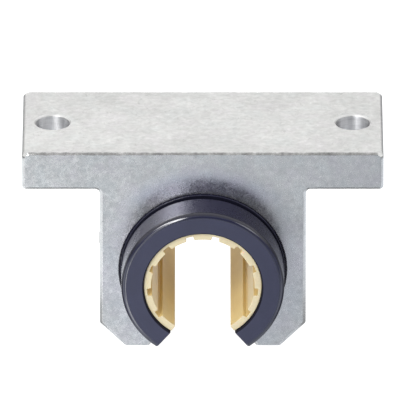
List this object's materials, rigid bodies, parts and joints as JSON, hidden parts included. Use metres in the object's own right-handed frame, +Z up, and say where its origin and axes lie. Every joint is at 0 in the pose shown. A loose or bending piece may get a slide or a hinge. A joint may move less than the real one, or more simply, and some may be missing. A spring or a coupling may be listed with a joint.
{
  "type": "linear bearing block",
  "caption": "T-shaped aluminium block with a dark open sleeve and a padded plastic liner that slides on a round rail carried from below.",
  "frame": {"origin": "on the shaft axis, at the middle of the block's length", "axes": "+X across the flange, +Y along the shaft, away from the viewer of the picture, +Z up through the mounting flange"},
  "size_m": [0.07, 0.045, 0.0417],
  "materials": {
    "housing_aluminium": "raw, tumbled, fine mottled grain",
    "sleeve_anodised": "satin, dark slate-blue hard anodised",
    "liner_polymer": "satin moulded, cream",
    "screw_steel": "blackened"
  },
  "bodies": {
    "root": {"housing": "housing_aluminium", "bearing_sleeve": "sleeve_anodised", "liner": "liner_polymer", "locating_screw": "screw_steel"}
  },
  "joints": []
}
